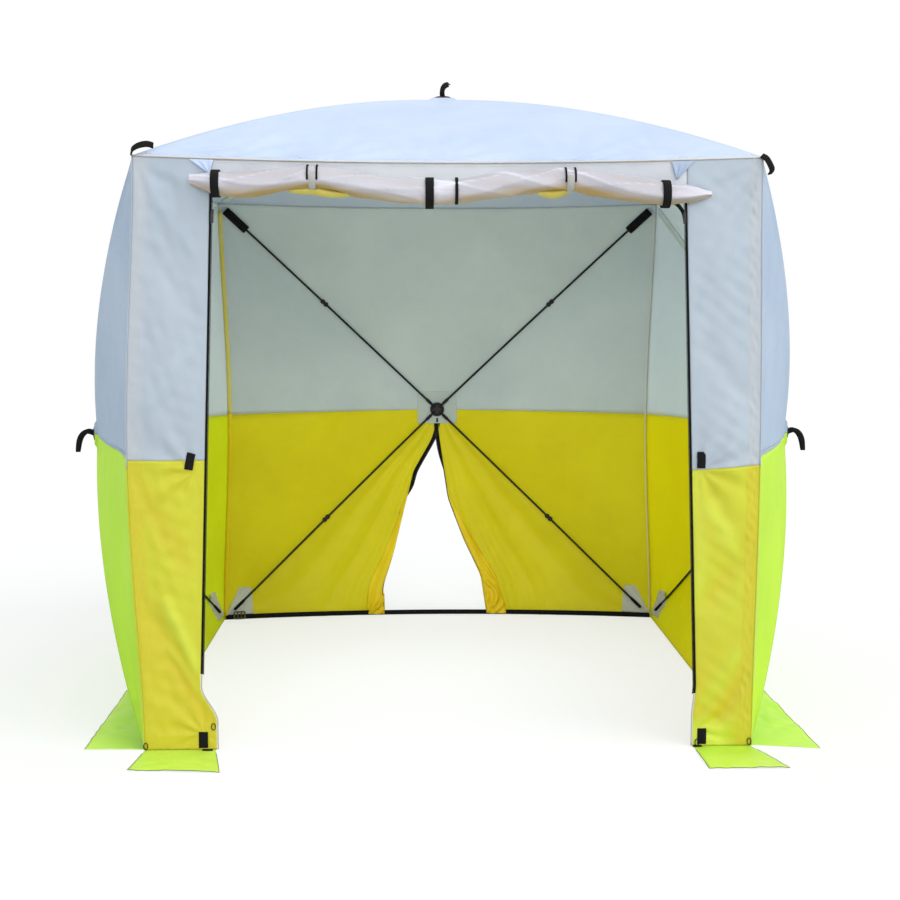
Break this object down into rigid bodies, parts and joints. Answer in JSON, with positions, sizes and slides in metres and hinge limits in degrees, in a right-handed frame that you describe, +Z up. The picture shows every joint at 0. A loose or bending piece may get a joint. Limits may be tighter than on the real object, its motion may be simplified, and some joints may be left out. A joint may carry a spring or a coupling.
{
  "type": "pop-up work tent",
  "caption": "Square sprung-hub work tent with a rolled-up front door, a parted back door, ground flaps and pull loops on its hubs.",
  "frame": {"origin": "on the ground under the centre of the bounding box", "axes": "+Z up, -Y out of the front doorway, +X to the right of someone who looks in at it"},
  "size_m": [2.6082, 2.419, 2.0824],
  "materials": {
    "pale_cloth": "coated satin weave",
    "roof_cloth": "coated satin weave",
    "hi_vis_cloth": "coated satin weave",
    "black_webbing": "woven",
    "black_plastic": "moulded",
    "fibreglass": "pultruded rod, smooth",
    "zip_black": "coil zip",
    "steel": "plated"
  },
  "bodies": {
    "root": {"roof_panel": "roof_cloth", "left_wall_upper": "pale_cloth", "left_wall_lower": "hi_vis_cloth", "right_wall_upper": "pale_cloth", "right_wall_lower": "hi_vis_cloth", "back_wall_upper": "pale_cloth", "back_wall_lower_left": "hi_vis_cloth", "back_wall_lower_right": "hi_vis_cloth", "front_post_left": "hi_vis_cloth", "front_post_right": "hi_vis_cloth", "front_header": "pale_cloth", "front_zip_left": "zip_black", "front_zip_right": "zip_black", "door_roll": "pale_cloth", "roll_strap_left": "black_webbing", "roll_strap_middle": "black_webbing", "roll_strap_right": "black_webbing", "roll_toggle_left": "black_webbing", "roll_toggle_right": "black_webbing", "hem_strap": "black_webbing", "back_zip": "zip_black"},
    "left_hub": {"left_hub": "black_plastic", "left_hub_pin_wire": "steel", "left_hub_cap": "black_plastic", "left_pull": "black_webbing"},
    "left_rod_upper_back": {"left_rod_upper_back": "fibreglass"},
    "left_rod_upper_front": {"left_rod_upper_front": "fibreglass"},
    "left_rod_lower_back": {"left_rod_lower_back": "fibreglass"},
    "left_rod_lower_front": {"left_rod_lower_front": "fibreglass"},
    "right_hub": {"right_hub": "black_plastic", "right_hub_pin_wire": "steel", "right_hub_cap": "black_plastic", "right_pull": "black_webbing"},
    "right_rod_upper_front": {"right_rod_upper_front": "fibreglass"},
    "right_rod_upper_back": {"right_rod_upper_back": "fibreglass"},
    "right_rod_lower_front": {"right_rod_lower_front": "fibreglass"},
    "right_rod_lower_back": {"right_rod_lower_back": "fibreglass"},
    "back_hub": {"back_hub": "black_plastic", "back_hub_pin_wire": "steel", "back_hub_cap": "black_plastic", "back_pull": "black_webbing", "back_zip_slider": "steel"},
    "back_rod_upper_right": {"back_rod_upper_right": "fibreglass"},
    "back_rod_upper_left": {"back_rod_upper_left": "fibreglass"},
    "back_rod_lower_right": {"back_rod_lower_right": "fibreglass"},
    "back_rod_lower_left": {"back_rod_lower_left": "fibreglass"},
    "roof_hub": {"roof_hub": "black_plastic", "roof_hub_pin_wire": "steel", "roof_hub_cap": "black_plastic", "roof_pull": "black_webbing"},
    "roof_rod_back_left": {"roof_rod_back_left": "fibreglass"},
    "roof_rod_back_right": {"roof_rod_back_right": "fibreglass"},
    "roof_rod_front_left": {"roof_rod_front_left": "fibreglass"},
    "roof_rod_front_right": {"roof_rod_front_right": "fibreglass"},
    "left_flap": {"left_flap": "hi_vis_cloth"},
    "front_flap_left": {"front_flap_left": "hi_vis_cloth"},
    "zip_slider_left": {"zip_slider_left": "steel"},
    "right_flap": {"right_flap": "hi_vis_cloth"},
    "front_flap_right": {"front_flap_right": "hi_vis_cloth"},
    "zip_slider_right": {"zip_slider_right": "steel"}
  },
  "joints": [
    {"name": "left_pop", "type": "slide", "parent": "root", "child": "left_hub", "axis": [-1, 0, 0], "range_m": [-0.578, 0], "deforming": ["left_wall_upper", "left_wall_lower"]},
    {"name": "left_rod_upper_back_hinge", "type": "hinge", "parent": "left_hub", "child": "left_rod_upper_back", "pos_m": [-1.20195, -0.08011, 0.87887], "axis": [0, -0.6934, 0.7206], "range_deg": [0, 27.92]},
    {"name": "left_rod_upper_front_hinge", "type": "hinge", "parent": "left_hub", "child": "left_rod_upper_front", "pos_m": [-1.20195, -0.10894, 0.87887], "axis": [0, -0.6934, -0.7206], "range_deg": [0, 27.92]},
    {"name": "left_rod_lower_back_hinge", "type": "hinge", "parent": "left_hub", "child": "left_rod_lower_back", "pos_m": [-1.20195, -0.08011, 0.85113], "axis": [0, 0.6934, 0.7206], "range_deg": [0, 27.92]},
    {"name": "left_rod_lower_front_hinge", "type": "hinge", "parent": "left_hub", "child": "left_rod_lower_front", "pos_m": [-1.20195, -0.10894, 0.85113], "axis": [0, 0.6934, -0.7206], "range_deg": [0, 27.92]},
    {"name": "right_pop", "type": "slide", "parent": "root", "child": "right_hub", "axis": [1, 0, 0], "range_m": [-0.578, 0], "deforming": ["right_wall_upper", "right_wall_lower"]},
    {"name": "right_rod_upper_front_hinge", "type": "hinge", "parent": "right_hub", "child": "right_rod_upper_front", "pos_m": [1.20195, -0.10894, 0.87887], "axis": [0, 0.6934, 0.7206], "range_deg": [0, 27.92]},
    {"name": "right_rod_upper_back_hinge", "type": "hinge", "parent": "right_hub", "child": "right_rod_upper_back", "pos_m": [1.20195, -0.08011, 0.87887], "axis": [0, 0.6934, -0.7206], "range_deg": [0, 27.92]},
    {"name": "right_rod_lower_front_hinge", "type": "hinge", "parent": "right_hub", "child": "right_rod_lower_front", "pos_m": [1.20195, -0.10894, 0.85113], "axis": [0, -0.6934, 0.7206], "range_deg": [0, 27.92]},
    {"name": "right_rod_lower_back_hinge", "type": "hinge", "parent": "right_hub", "child": "right_rod_lower_back", "pos_m": [1.20195, -0.08011, 0.85113], "axis": [0, -0.6934, -0.7206], "range_deg": [0, 27.92]},
    {"name": "back_pop", "type": "slide", "parent": "root", "child": "back_hub", "axis": [0, 1, 0], "range_m": [-0.578, 0], "deforming": ["back_wall_upper", "back_wall_lower_left", "back_wall_lower_right", "back_zip"]},
    {"name": "back_rod_upper_right_hinge", "type": "hinge", "parent": "back_hub", "child": "back_rod_upper_right", "pos_m": [0.01443, 1.10743, 0.87885], "axis": [-0.6926, 0, 0.7213], "range_deg": [0, 27.89]},
    {"name": "back_rod_upper_left_hinge", "type": "hinge", "parent": "back_hub", "child": "back_rod_upper_left", "pos_m": [-0.01443, 1.10743, 0.87885], "axis": [-0.6926, 0, -0.7213], "range_deg": [0, 27.89]},
    {"name": "back_rod_lower_right_hinge", "type": "hinge", "parent": "back_hub", "child": "back_rod_lower_right", "pos_m": [0.01443, 1.10743, 0.85115], "axis": [0.6926, 0, 0.7213], "range_deg": [0, 27.89]},
    {"name": "back_rod_lower_left_hinge", "type": "hinge", "parent": "back_hub", "child": "back_rod_lower_left", "pos_m": [-0.01443, 1.10743, 0.85115], "axis": [0.6926, 0, -0.7213], "range_deg": [0, 27.89]},
    {"name": "roof_pop", "type": "slide", "parent": "root", "child": "roof_hub", "axis": [0, 0, 1], "range_m": [-0.524, 0], "deforming": ["roof_panel"]},
    {"name": "roof_rod_back_left_hinge", "type": "hinge", "parent": "roof_hub", "child": "roof_rod_back_left", "pos_m": [-0.01414, -0.08038, 2.0063], "axis": [0.7071, 0.7071, 0], "range_deg": [0, 24.87]},
    {"name": "roof_rod_back_right_hinge", "type": "hinge", "parent": "roof_hub", "child": "roof_rod_back_right", "pos_m": [0.01414, -0.08038, 2.0063], "axis": [0.7071, -0.7071, 0], "range_deg": [0, 24.87]},
    {"name": "roof_rod_front_left_hinge", "type": "hinge", "parent": "roof_hub", "child": "roof_rod_front_left", "pos_m": [-0.01414, -0.10867, 2.0063], "axis": [-0.7071, 0.7071, 0], "range_deg": [0, 24.87]},
    {"name": "roof_rod_front_right_hinge", "type": "hinge", "parent": "roof_hub", "child": "roof_rod_front_right", "pos_m": [0.01414, -0.10867, 2.0063], "axis": [-0.7071, -0.7071, 0], "range_deg": [0, 24.87]},
    {"name": "left_flap_hinge", "type": "hinge", "parent": "root", "child": "left_flap", "pos_m": [-0.90165, -0.09452, 0.00075], "axis": [0, 1, 0], "range_deg": [0, 50]},
    {"name": "front_flap_left_hinge", "type": "hinge", "parent": "root", "child": "front_flap_left", "pos_m": [-0.795, -0.99618, 0.00075], "axis": [-1, 0, 0], "range_deg": [0, 85]},
    {"name": "zip_left_slide", "type": "slide", "parent": "root", "child": "zip_slider_left", "axis": [-0.0345, 0, -0.9994], "range_m": [0, 1.3]},
    {"name": "right_flap_hinge", "type": "hinge", "parent": "root", "child": "right_flap", "pos_m": [0.90165, -0.09452, 0.00075], "axis": [0, -1, 0], "range_deg": [0, 50]},
    {"name": "front_flap_right_hinge", "type": "hinge", "parent": "root", "child": "front_flap_right", "pos_m": [0.795, -0.99618, 0.00075], "axis": [-1, 0, 0], "range_deg": [0, 85]},
    {"name": "zip_right_slide", "type": "slide", "parent": "root", "child": "zip_slider_right", "axis": [0.0345, 0, -0.9994], "range_m": [0, 1.3]}
  ],
  "couplings": [
    {"joint": "left_rod_upper_back_hinge", "follows": "left_pop", "rad_per_m": -0.8417},
    {"joint": "left_rod_upper_front_hinge", "follows": "left_pop", "rad_per_m": -0.8417},
    {"joint": "left_rod_lower_back_hinge", "follows": "left_pop", "rad_per_m": -0.8417},
    {"joint": "left_rod_lower_front_hinge", "follows": "left_pop", "rad_per_m": -0.8417},
    {"joint": "right_rod_upper_front_hinge", "follows": "right_pop", "rad_per_m": -0.8417},
    {"joint": "right_rod_upper_back_hinge", "follows": "right_pop", "rad_per_m": -0.8417},
    {"joint": "right_rod_lower_front_hinge", "follows": "right_pop", "rad_per_m": -0.8417},
    {"joint": "right_rod_lower_back_hinge", "follows": "right_pop", "rad_per_m": -0.8417},
    {"joint": "back_rod_upper_right_hinge", "follows": "back_pop", "rad_per_m": -0.8408},
    {"joint": "back_rod_upper_left_hinge", "follows": "back_pop", "rad_per_m": -0.8408},
    {"joint": "back_rod_lower_right_hinge", "follows": "back_pop", "rad_per_m": -0.8408},
    {"joint": "back_rod_lower_left_hinge", "follows": "back_pop", "rad_per_m": -0.8408},
    {"joint": "roof_rod_back_left_hinge", "follows": "roof_pop", "rad_per_m": -0.8266},
    {"joint": "roof_rod_back_right_hinge", "follows": "roof_pop", "rad_per_m": -0.8266},
    {"joint": "roof_rod_front_left_hinge", "follows": "roof_pop", "rad_per_m": -0.8266},
    {"joint": "roof_rod_front_right_hinge", "follows": "roof_pop", "rad_per_m": -0.8266}
  ]
}
